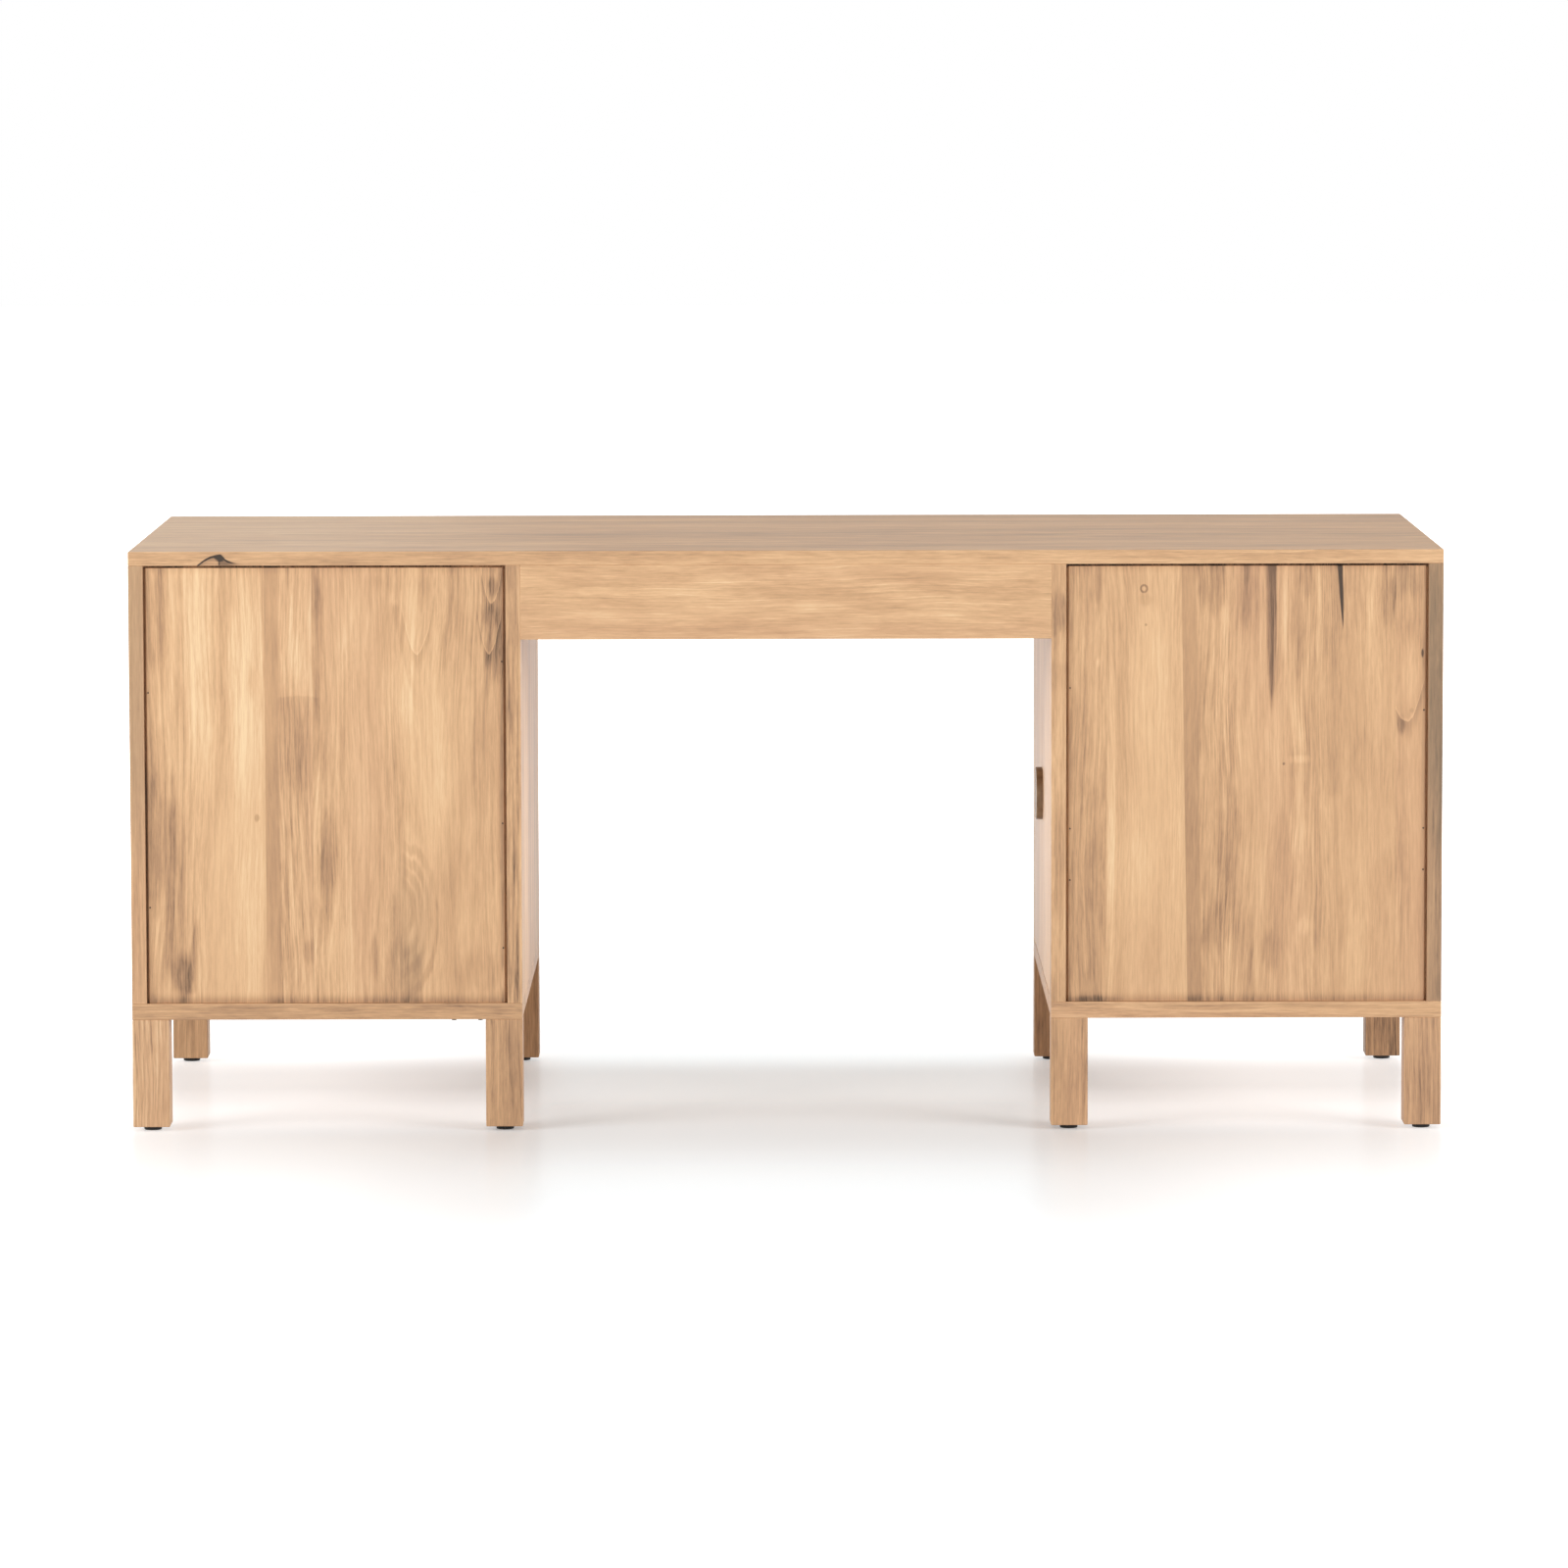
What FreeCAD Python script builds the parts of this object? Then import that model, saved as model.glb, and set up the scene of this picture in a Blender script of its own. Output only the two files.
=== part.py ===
import FreeCAD, Part
import math
import os

from FreeCAD import Vector

# Double-pedestal executive desk, in millimetres. Z is up, X runs along the desk and the user sits on the -Y side.
# The origin is on the floor, under the middle of the desk with its drawer pulls.

# Overall size.
DESK_WIDTH = 1778.0
DESK_DEPTH = 762.0
DESK_HEIGHT = 790.0

# Boards and panels.
TOP_THICKNESS = 19.0
SIDE_THICKNESS = 20.0
BOTTOM_THICKNESS = 22.0
PANEL_THICKNESS = 12.0
PANEL_RECESS = 5.0
PANEL_REVEAL = 3.2
PANEL_TONGUE = 4.0
PEDESTAL_WIDTH = 530.0
APRON_HEIGHT = 101.0
STILE_WIDTH = 60.0
EDGE_EASE = 0.8

# Legs, the bolts that hold them and the glides under them.
LEG_SIZE = 50.0
LEG_HEIGHT = 147.0
LEG_EASE = 1.6
BOLT_DIAMETER = 8.0
BOLT_GRIP = 38.0
BOLT_INSET = 32.0
BOLT_HEAD_WIDTH = 13.0
BOLT_HEAD_HEIGHT = 5.5
BOLT_PLAY = 0.3
GLIDE_DIAMETER = 24.0
GLIDE_HEIGHT = 6.0
GLIDE_EASE = 1.2
GLIDE_STEM_DIAMETER = 3.6
GLIDE_STEM_LENGTH = 16.0
GLIDE_STEM_PLAY = 0.2

# Angle brackets that hold the desktop to the pedestals.
BRACKET_LEG = 25.0
BRACKET_WIDTH = 30.0
BRACKET_THICKNESS = 2.0
BRACKET_SPREAD = 400.0

# Half-moon pulls: a thick plate with a groove under its flat edge, where fingertips catch.
PULL_RADIUS = 36.0
PULL_PROUD = 9.0
PULL_EASE = 1.2
PULL_EDGE_INSET = 6.0
PULL_GROOVE_HEIGHT = 3.5
PULL_GROOVE_DEPTH = 6.0
PULL_GROOVE_END = 9.0

# Cabinet doors, their pivots, catch and shelf.
DOOR_GAP = 2.5
DOOR_MEETING_GAP = 3.0
DOOR_STOP_GAP = 0.4
PIVOT_DIAMETER = 5.0
PIVOT_FROM_FACE = 6.0
PIVOT_FROM_EDGE = 12.0
PIVOT_IN_DOOR = 14.0
PIVOT_PLAY = 0.05
BUSH_DIAMETER = 8.0
BUSH_DEPTH = 9.0
BUSH_FLANGE_DIAMETER = 12.0
BUSH_FLANGE = 2.0
BUSH_SEAT_PLAY = 0.05
CATCH_LENGTH = 40.0
CATCH_HEIGHT = 34.0
CATCH_DEPTH = 16.0
CATCH_REACH = 14.0
SHELF_THICKNESS = 18.0
SHELF_HEIGHT = 400.0
SHELF_PLAY = 1.0
SHELF_DOOR_GAP = 8.0
PIN_DIAMETER = 5.0
PIN_IN_PANEL = 8.0
PIN_SEAT = 10.0
PIN_SEAT_WIDTH = 12.0
PIN_SEAT_THICKNESS = 2.0
PIN_PLAY = 0.1
PIN_INSET = 60.0

# Drawers and their slides.
FILE_DRAWER_HEIGHT = 305.0
FRONT_GAP = 1.5
BOX_LENGTH = 550.0
BOX_SIDE = 12.0
BOX_LIFT = 12.0
BOX_DROP = 15.0
BOX_BOTTOM = 6.0
BOX_BOTTOM_LIFT = 8.0
GROOVE_DEPTH = 5.0
GROOVE_PLAY = 0.2
SLIDE_SPACE = 13.0
SLIDE_HEIGHT = 42.0
SLIDE_SETBACK = 4.0
SLIDE_SHEET = 1.2
SLIDE_FLANGE = 9.0
SLIDE_PLAY = 0.4

# How far cuts run past the faces that they open.
OVERRUN = 1.0

# Planes of the desk, worked out from the sizes above.
END_X = DESK_WIDTH / 2
KNEE_X = END_X - PEDESTAL_WIDTH
FRONT_Y = (PULL_PROUD - DESK_DEPTH) / 2
BACK_Y = FRONT_Y + DESK_DEPTH
MIDDLE_Y = (FRONT_Y + BACK_Y) / 2
LEG_TOP = GLIDE_HEIGHT + LEG_HEIGHT
FLOOR_Z = LEG_TOP + BOTTOM_THICKNESS
CEILING_Z = DESK_HEIGHT - TOP_THICKNESS
RAIL_Z = CEILING_Z - APRON_HEIGHT
OUTER_WALL = END_X - SIDE_THICKNESS
INNER_WALL = KNEE_X + SIDE_THICKNESS
PANEL_INNER = PANEL_RECESS + PANEL_THICKNESS
BOX_FRONT = FRONT_Y + SIDE_THICKNESS

UP = Vector(0, 0, 1)


def block(x_span, y_span, z_span):
    """Box between two planes along each axis, whichever way round each pair is given."""
    low = Vector(min(x_span), min(y_span), min(z_span))
    high = Vector(max(x_span), max(y_span), max(z_span))
    size = high - low
    return Part.makeBox(size.x, size.y, size.z, low)


def eased(board, ease=EDGE_EASE):
    """Board with every edge lightly rounded, as sandpaper leaves it."""
    return board.makeFillet(ease, board.Edges)


def rod(diameter, base, length, direction=UP):
    """Round bar, or the tool for a round hole."""
    return Part.makeCylinder(diameter / 2, length, base, direction)


def hole(diameter, base, length, direction=UP):
    """Tool for a blind hole that starts a little before its mouth."""
    return rod(diameter, base - direction * OVERRUN, length + OVERRUN, direction)


def desktop():
    return eased(block((-END_X, END_X), (FRONT_Y, BACK_Y), (CEILING_Z, DESK_HEIGHT)))


def back_apron():
    return eased(block((-KNEE_X, KNEE_X), (BACK_Y - SIDE_THICKNESS, BACK_Y), (RAIL_Z, CEILING_Z)))


def side_board(near_x, far_x):
    return eased(block((near_x, far_x), (FRONT_Y, BACK_Y), (FLOOR_Z, CEILING_Z)))


def leg_centres(side):
    """Centres of a pedestal's four legs, named for where they stand. side is 1 at +X and -1 at -X."""
    half = LEG_SIZE / 2
    across = {"outer": END_X - half, "inner": KNEE_X + half}
    along = {"back": BACK_Y - half, "front": FRONT_Y + half}
    return {row + "_" + column: (side * x, y) for row, y in along.items() for column, x in across.items()}


def bolt_places(side):
    """Leg bolts, moved in from the corners so that their heads clear the sides and panels."""
    rows = (FRONT_Y + BOLT_INSET, BACK_Y - BOLT_INSET)
    columns = (END_X - BOLT_INSET, KNEE_X + BOLT_INSET)
    return [(side * x, y) for x in columns for y in rows]


def bolt_hole(x, y):
    """Hole for one leg bolt, down through the bottom board and into the leg."""
    mouth = Vector(x, y, FLOOR_Z)
    return hole(BOLT_DIAMETER + 2 * BOLT_PLAY, mouth, BOTTOM_THICKNESS + BOLT_GRIP + BOLT_PLAY, -UP)


def bottom_board(side):
    board = eased(block((side * KNEE_X, side * END_X), (FRONT_Y, BACK_Y), (LEG_TOP, FLOOR_Z)))
    return board.cut([bolt_hole(x, y) for x, y in bolt_places(side)])


def leg(side, x, y):
    half = LEG_SIZE / 2
    post = eased(block((x - half, x + half), (y - half, y + half), (GLIDE_HEIGHT, LEG_TOP)), LEG_EASE)
    stem_hole = hole(
        GLIDE_STEM_DIAMETER + 2 * GLIDE_STEM_PLAY,
        Vector(x, y, GLIDE_HEIGHT),
        GLIDE_STEM_LENGTH + GLIDE_STEM_PLAY,
    )
    return post.cut([stem_hole] + [bolt_hole(bx, by) for bx, by in bolt_places(side)])


def glide(x, y):
    """Nail-on plastic glide: a disc with a soft lower edge and a stem up into the leg."""
    disc = rod(GLIDE_DIAMETER, Vector(x, y, 0), GLIDE_HEIGHT)
    lower_rim = [edge for edge in disc.Edges if edge.BoundBox.ZMax < GLIDE_HEIGHT / 2]
    disc = disc.makeFillet(GLIDE_EASE, lower_rim)
    stem = rod(GLIDE_STEM_DIAMETER, Vector(x, y, 0), GLIDE_HEIGHT + GLIDE_STEM_LENGTH)
    stem = stem.common(block((x - LEG_SIZE, x + LEG_SIZE), (y - LEG_SIZE, y + LEG_SIZE), (GLIDE_HEIGHT / 2, LEG_TOP)))
    return disc.fuse(stem).removeSplitter()


def leg_bolt(x, y):
    """Hexagon-head bolt, its head on the bottom board and its shank in the leg."""
    corner = BOLT_HEAD_WIDTH / 2 / math.cos(math.pi / 6)
    turns = [math.pi / 3 * step for step in range(7)]
    outline = [Vector(x + corner * math.cos(a), y + corner * math.sin(a), FLOOR_Z) for a in turns]
    head = Part.Face(Part.makePolygon(outline)).extrude(UP * BOLT_HEAD_HEIGHT)
    shank = rod(BOLT_DIAMETER, Vector(x, y, FLOOR_Z - BOTTOM_THICKNESS - BOLT_GRIP), BOTTOM_THICKNESS + BOLT_GRIP)
    return head.fuse(shank)


def bracket(wall_x, inward, y):
    """Steel angle with one leg on a pedestal's wall and the other under the desktop."""
    width = (y - BRACKET_WIDTH / 2, y + BRACKET_WIDTH / 2)
    upright = block((wall_x, wall_x + inward * BRACKET_THICKNESS), width, (CEILING_Z - BRACKET_LEG, CEILING_Z))
    flat = block((wall_x, wall_x + inward * BRACKET_LEG), width, (CEILING_Z - BRACKET_THICKNESS, CEILING_Z))
    return upright.fuse(flat).removeSplitter()


def top_brackets():
    walls = ((-OUTER_WALL, 1), (-INNER_WALL, -1), (INNER_WALL, 1), (OUTER_WALL, -1))
    rows = (MIDDLE_Y - BRACKET_SPREAD / 2, MIDDLE_Y + BRACKET_SPREAD / 2)
    return [bracket(x, inward, y) for x, inward in walls for y in rows]


def pin_places():
    """Shelf pin mouths in the cabinet's front and back panels, with the way out of each panel."""
    columns = (-OUTER_WALL + PIN_INSET, -INNER_WALL - SHELF_DOOR_GAP - PIN_INSET)
    rows = ((FRONT_Y + PANEL_INNER, 1), (BACK_Y - PANEL_INNER, -1))
    height = SHELF_HEIGHT - PIN_SEAT_THICKNESS - PIN_DIAMETER / 2
    return [(Vector(x, y, height), Vector(0, way, 0)) for x in columns for y, way in rows]


def pin_holes():
    diameter = PIN_DIAMETER + 2 * PIN_PLAY
    return [hole(diameter, mouth, PIN_IN_PANEL + PIN_PLAY, -way) for mouth, way in pin_places()]


def shelf_pin(mouth, way):
    """Round pin in the panel, with a flat seat for the shelf."""
    stem = rod(PIN_DIAMETER, mouth - way * PIN_IN_PANEL, PIN_IN_PANEL + PIN_SEAT, way)
    half = PIN_SEAT_WIDTH / 2
    reach = mouth + way * PIN_SEAT
    seat_z = (mouth.z, SHELF_HEIGHT)
    seat = block((mouth.x - half, mouth.x + half), (mouth.y, reach.y), seat_z)
    return seat.fuse(stem).removeSplitter()


def plank_panel(x_span, face_y, inward, z_span):
    """Recessed panel of glued planks between the side boards. face_y is the desk face that it is set back from.
    A thin tongue at its back meets the boards around it, so that a narrow reveal shows along its sides and top."""
    outer = face_y + inward * PANEL_RECESS
    inner = outer + inward * PANEL_THICKNESS
    field_x = (x_span[0] + PANEL_REVEAL, x_span[1] - PANEL_REVEAL)
    field_z = (z_span[0], z_span[1] - PANEL_REVEAL)
    field = eased(block(field_x, (outer, inner - inward * PANEL_TONGUE / 2), field_z))
    tongue = eased(block(x_span, (inner - inward * PANEL_TONGUE, inner), z_span))
    return field.fuse(tongue).removeSplitter()


def cabinet_back_panel():
    panel = plank_panel((-OUTER_WALL, -INNER_WALL), BACK_Y, -1, (FLOOR_Z, CEILING_Z))
    return panel.cut(pin_holes())


def cabinet_front_panel():
    panel = plank_panel((-OUTER_WALL, -INNER_WALL), FRONT_Y, 1, (FLOOR_Z, RAIL_Z))
    return panel.cut(pin_holes())


def drawer_back_panel():
    return plank_panel((INNER_WALL, OUTER_WALL), BACK_Y, -1, (FLOOR_Z, CEILING_Z))


def cabinet_front_rail():
    return eased(block((-OUTER_WALL, -INNER_WALL), (FRONT_Y, BOX_FRONT), (RAIL_Z, CEILING_Z)))


def cabinet_stile(y_edge, y_inner):
    return eased(block((-KNEE_X, -INNER_WALL), (y_edge, y_inner), (FLOOR_Z, CEILING_Z)))


def cabinet_shelf():
    return eased(
        block(
            (-OUTER_WALL + SHELF_PLAY, -INNER_WALL - SHELF_DOOR_GAP),
            (FRONT_Y + PANEL_INNER + SHELF_PLAY, BACK_Y - PANEL_INNER - SHELF_PLAY),
            (SHELF_HEIGHT, SHELF_HEIGHT + SHELF_THICKNESS),
        )
    )


def door_catch():
    """Magnetic catch on the inside of the top rail. Its lower half stops both doors."""
    half = CATCH_LENGTH / 2
    base_z = RAIL_Z - CATCH_REACH
    return eased(
        block(
            (-INNER_WALL, -INNER_WALL - CATCH_DEPTH),
            (MIDDLE_Y - half, MIDDLE_Y + half),
            (base_z, base_z + CATCH_HEIGHT),
        )
    )


def stile_edge(way):
    """Inner edge of the stile that a door hangs beside. way is 1 for the back door and -1 for the front door."""
    return MIDDLE_Y + way * (DESK_DEPTH / 2 - STILE_WIDTH)


def pivot_axis(way, z):
    hinge_edge = stile_edge(way) - way * DOOR_GAP
    return Vector(-KNEE_X - PIVOT_FROM_FACE, hinge_edge - way * PIVOT_FROM_EDGE, z)


def door_bottom():
    return FLOOR_Z + DOOR_GAP


def door_top():
    return RAIL_Z - DOOR_GAP


def door(way):
    """Inset door, flush with the knee-hole face, that turns on a pin near its outer corner at the stile."""
    hinge_edge = stile_edge(way) - way * DOOR_GAP
    free_edge = MIDDLE_Y + way * DOOR_MEETING_GAP / 2
    panel = eased(
        block((-KNEE_X, -INNER_WALL + DOOR_STOP_GAP), (hinge_edge, free_edge), (door_bottom(), door_top()))
    )
    diameter = PIVOT_DIAMETER + 2 * PIVOT_PLAY
    lower = hole(diameter, pivot_axis(way, door_bottom()), PIVOT_IN_DOOR + PIVOT_PLAY)
    upper = hole(diameter, pivot_axis(way, door_top()), PIVOT_IN_DOOR + PIVOT_PLAY, -UP)
    return panel.cut([lower, upper])


def pivot_pins(way):
    """Upper and lower pivot pin of one door, each half in the door and half in its bush."""
    in_bush = DOOR_GAP + BUSH_DEPTH - PIVOT_PLAY
    length = PIVOT_IN_DOOR + in_bush
    lower = rod(PIVOT_DIAMETER, pivot_axis(way, door_bottom() - in_bush), length)
    upper = rod(PIVOT_DIAMETER, pivot_axis(way, door_top() + in_bush), length, -UP)
    return [lower, upper]


def bush_seats(face_z, outward):
    """Blind holes that take the pivot bushes, in the face at face_z. outward points out of the board."""
    diameter = BUSH_DIAMETER + 2 * BUSH_SEAT_PLAY
    return [hole(diameter, pivot_axis(way, face_z), BUSH_DEPTH + BUSH_SEAT_PLAY, -outward) for way in (1, -1)]


def pivot_bush(way, face_z, outward):
    """Flanged bush, its flange on the board's face."""
    mouth = pivot_axis(way, face_z)
    body = rod(BUSH_DIAMETER, mouth - outward * BUSH_DEPTH, BUSH_DEPTH + BUSH_FLANGE, outward)
    flange = rod(BUSH_FLANGE_DIAMETER, mouth, BUSH_FLANGE, outward)
    bore = hole(PIVOT_DIAMETER + 2 * PIVOT_PLAY, mouth + outward * BUSH_FLANGE, BUSH_DEPTH + BUSH_FLANGE, -outward)
    bore = bore.fuse(rod(PIVOT_DIAMETER, mouth - outward * BUSH_DEPTH, BUSH_DEPTH, outward))
    return body.fuse(flange).removeSplitter().cut(bore)


def door_pivot_bushes():
    faces = ((FLOOR_Z, UP), (RAIL_Z, -UP))
    return [pivot_bush(way, z, outward) for way in (1, -1) for z, outward in faces]


def cabinet_bottom_board():
    return bottom_board(-1).cut(bush_seats(FLOOR_Z, UP))


def cabinet_top_rail():
    rail = eased(block((-KNEE_X, -INNER_WALL), (stile_edge(-1), stile_edge(1)), (RAIL_Z, CEILING_Z)))
    return rail.cut(bush_seats(RAIL_Z, -UP))


def eased_face(shape):
    """Same shape with the edges of its face at PULL_PROUD rounded over."""
    face_rim = [edge for edge in shape.Edges if edge.BoundBox.ZMin > PULL_PROUD / 2]
    return shape.makeFillet(PULL_EASE, face_rim)


def half_moon():
    """Cast half-moon pull with its back on the XY plane, its flat edge along X and its round side towards -Y."""
    disc = eased_face(rod(2 * PULL_RADIUS, Vector(0, 0, 0), PULL_PROUD))
    span = 2 * PULL_RADIUS
    half = eased_face(block((-span, span), (-span, 0), (0, PULL_PROUD)))
    half_groove = PULL_RADIUS - PULL_GROOVE_END
    groove_y = (-PULL_GROOVE_DEPTH, PULL_GROOVE_DEPTH)
    groove_z = (-PULL_GROOVE_HEIGHT, PULL_GROOVE_HEIGHT)
    groove = block((-half_groove, half_groove), groove_y, groove_z)
    return disc.common(half).cut(groove)


def door_pull(way):
    """Half-moon beside the door's free edge, so that the two doors' pulls make one disc."""
    pull = half_moon()
    pull.rotate(Vector(0, 0, 0), Vector(0, 1, 0), 90)
    pull.rotate(Vector(0, 0, 0), Vector(1, 0, 0), 90 - 90 * way)
    pull.rotate(Vector(0, 0, 0), Vector(1, 0, 0), 180)
    edge = MIDDLE_Y + way * (DOOR_MEETING_GAP / 2 + PULL_EDGE_INSET)
    pull.translate(Vector(-KNEE_X, edge, (door_bottom() + door_top()) / 2))
    return pull


def drawer_openings():
    """Each drawer's opening: its walls along X, and its lower and upper line."""
    file_line = FLOOR_Z + FILE_DRAWER_HEIGHT
    knee = (-KNEE_X, KNEE_X)
    pedestal = (INNER_WALL, OUTER_WALL)
    return {
        "centre_drawer": (knee, (RAIL_Z, CEILING_Z)),
        "top_drawer": (pedestal, (RAIL_Z, CEILING_Z)),
        "middle_drawer": (pedestal, (file_line, RAIL_Z)),
        "bottom_drawer": (pedestal, (FLOOR_Z, file_line)),
    }


def box_walls(walls):
    """Outer faces of a drawer's sides, between the slides."""
    return walls[0] + SLIDE_SPACE, walls[1] - SLIDE_SPACE


def box_heights(lines):
    """Lower and upper edge of a drawer's sides."""
    return lines[0] + FRONT_GAP + BOX_LIFT, lines[1] - FRONT_GAP - BOX_DROP


def bottom_blank(walls, lines, play):
    """Drawer bottom, let into grooves in the sides and the front. play widens it into the groove's tool."""
    left, right = box_walls(walls)
    low = box_heights(lines)[0] + BOX_BOTTOM_LIFT
    reach = BOX_SIDE - GROOVE_DEPTH - play
    rear = BOX_FRONT + BOX_LENGTH + (OVERRUN if play else 0)
    return block(
        (left + reach, right - reach),
        (BOX_FRONT - GROOVE_DEPTH - play, rear),
        (low - play, low + BOX_BOTTOM + play),
    )


def drawer_front(walls, lines):
    front = eased(
        block(
            (walls[0] + FRONT_GAP, walls[1] - FRONT_GAP),
            (FRONT_Y, BOX_FRONT),
            (lines[0] + FRONT_GAP, lines[1] - FRONT_GAP),
        )
    )
    return front.cut(bottom_blank(walls, lines, GROOVE_PLAY))


def drawer_sides(walls, lines):
    left, right = box_walls(walls)
    length = (BOX_FRONT, BOX_FRONT + BOX_LENGTH)
    groove = bottom_blank(walls, lines, GROOVE_PLAY)
    spans = ((left, left + BOX_SIDE), (right - BOX_SIDE, right))
    return [eased(block(span, length, box_heights(lines))).cut(groove) for span in spans]


def drawer_back(walls, lines):
    left, right = box_walls(walls)
    low, high = box_heights(lines)
    rear = BOX_FRONT + BOX_LENGTH
    return eased(
        block(
            (left + BOX_SIDE, right - BOX_SIDE),
            (rear - BOX_SIDE, rear),
            (low + BOX_BOTTOM_LIFT + BOX_BOTTOM, high),
        )
    )


def drawer_bottom(walls, lines):
    return bottom_blank(walls, lines, 0)


def drawer_pull(walls, lines):
    """Half-moon hanging from the drawer front's upper edge."""
    pull = half_moon()
    pull.rotate(Vector(0, 0, 0), Vector(1, 0, 0), 90)
    pull.translate(Vector((walls[0] + walls[1]) / 2, FRONT_Y, lines[1] - FRONT_GAP - PULL_EDGE_INSET))
    return pull


def channel(wall_x, inward, z_middle, height):
    """Steel channel along Y: its web on the plane wall_x, its flanges pointing inward."""
    length = (BOX_FRONT + SLIDE_SETBACK, BOX_FRONT + BOX_LENGTH)
    outer = block((wall_x, wall_x + inward * SLIDE_FLANGE), length, (z_middle - height / 2, z_middle + height / 2))
    half = height / 2 - SLIDE_SHEET
    hollow = block(
        (wall_x + inward * SLIDE_SHEET, wall_x + inward * (SLIDE_FLANGE + OVERRUN)),
        (length[0] - OVERRUN, length[1] + OVERRUN),
        (z_middle - half, z_middle + half),
    )
    return outer.cut(hollow)


def carcass_slides(walls, lines):
    middle = sum(box_heights(lines)) / 2
    return [channel(walls[0], 1, middle, SLIDE_HEIGHT), channel(walls[1], -1, middle, SLIDE_HEIGHT)]


def drawer_slides(walls, lines):
    """Drawer's members, which run inside the carcass members."""
    left, right = box_walls(walls)
    middle = sum(box_heights(lines)) / 2
    height = SLIDE_HEIGHT - 2 * (SLIDE_SHEET + SLIDE_PLAY)
    return [channel(left, -1, middle, height), channel(right, 1, middle, height)]


def write(node, solids):
    """One STEP file for one node: a single solid, or a group of like ones."""
    shape = Part.makeCompound(solids) if isinstance(solids, list) else solids
    shape.exportStep(os.path.join("parts", node + ".step"))


os.makedirs("parts", exist_ok=True)

write("desktop", desktop())
write("back_apron", back_apron())
write("top_brackets", top_brackets())

write("cabinet_outer_side", side_board(-END_X, -OUTER_WALL))
write("cabinet_back_stile", cabinet_stile(BACK_Y, stile_edge(1)))
write("cabinet_front_stile", cabinet_stile(FRONT_Y, stile_edge(-1)))
write("cabinet_top_rail", cabinet_top_rail())
write("cabinet_bottom_board", cabinet_bottom_board())
write("cabinet_back_panel", cabinet_back_panel())
write("cabinet_front_rail", cabinet_front_rail())
write("cabinet_front_panel", cabinet_front_panel())
write("cabinet_shelf", cabinet_shelf())
write("shelf_pins", [shelf_pin(mouth, way) for mouth, way in pin_places()])
write("door_catch", door_catch())
write("door_pivot_bushes", door_pivot_bushes())
for door_name, way in (("back_door", 1), ("front_door", -1)):
    write(door_name, door(way))
    write(door_name + "_pull", door_pull(way))
    write(door_name + "_pivot_pins", pivot_pins(way))

write("drawer_outer_side", side_board(OUTER_WALL, END_X))
write("drawer_inner_side", side_board(KNEE_X, INNER_WALL))
write("drawer_bottom_board", bottom_board(1))
write("drawer_back_panel", drawer_back_panel())

bolts = []
glides = []
for pedestal_name, side in (("cabinet", -1), ("drawer", 1)):
    bolts += [leg_bolt(x, y) for x, y in bolt_places(side)]
    for corner, (x, y) in leg_centres(side).items():
        write(pedestal_name + "_leg_" + corner, leg(side, x, y))
        glides.append(glide(x, y))
write("leg_bolts", bolts)
write("leg_glides", glides)

slides = []
for name, (walls, lines) in drawer_openings().items():
    slides += carcass_slides(walls, lines)
    write(name + "_front", drawer_front(walls, lines))
    write(name + "_sides", drawer_sides(walls, lines))
    write(name + "_back", drawer_back(walls, lines))
    write(name + "_bottom", drawer_bottom(walls, lines))
    write(name + "_pull", drawer_pull(walls, lines))
    write(name + "_slide_members", drawer_slides(walls, lines))
write("carcass_slide_members", slides)
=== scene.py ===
import math

import bmesh
import bpy
from mathutils import Matrix, Vector


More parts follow.
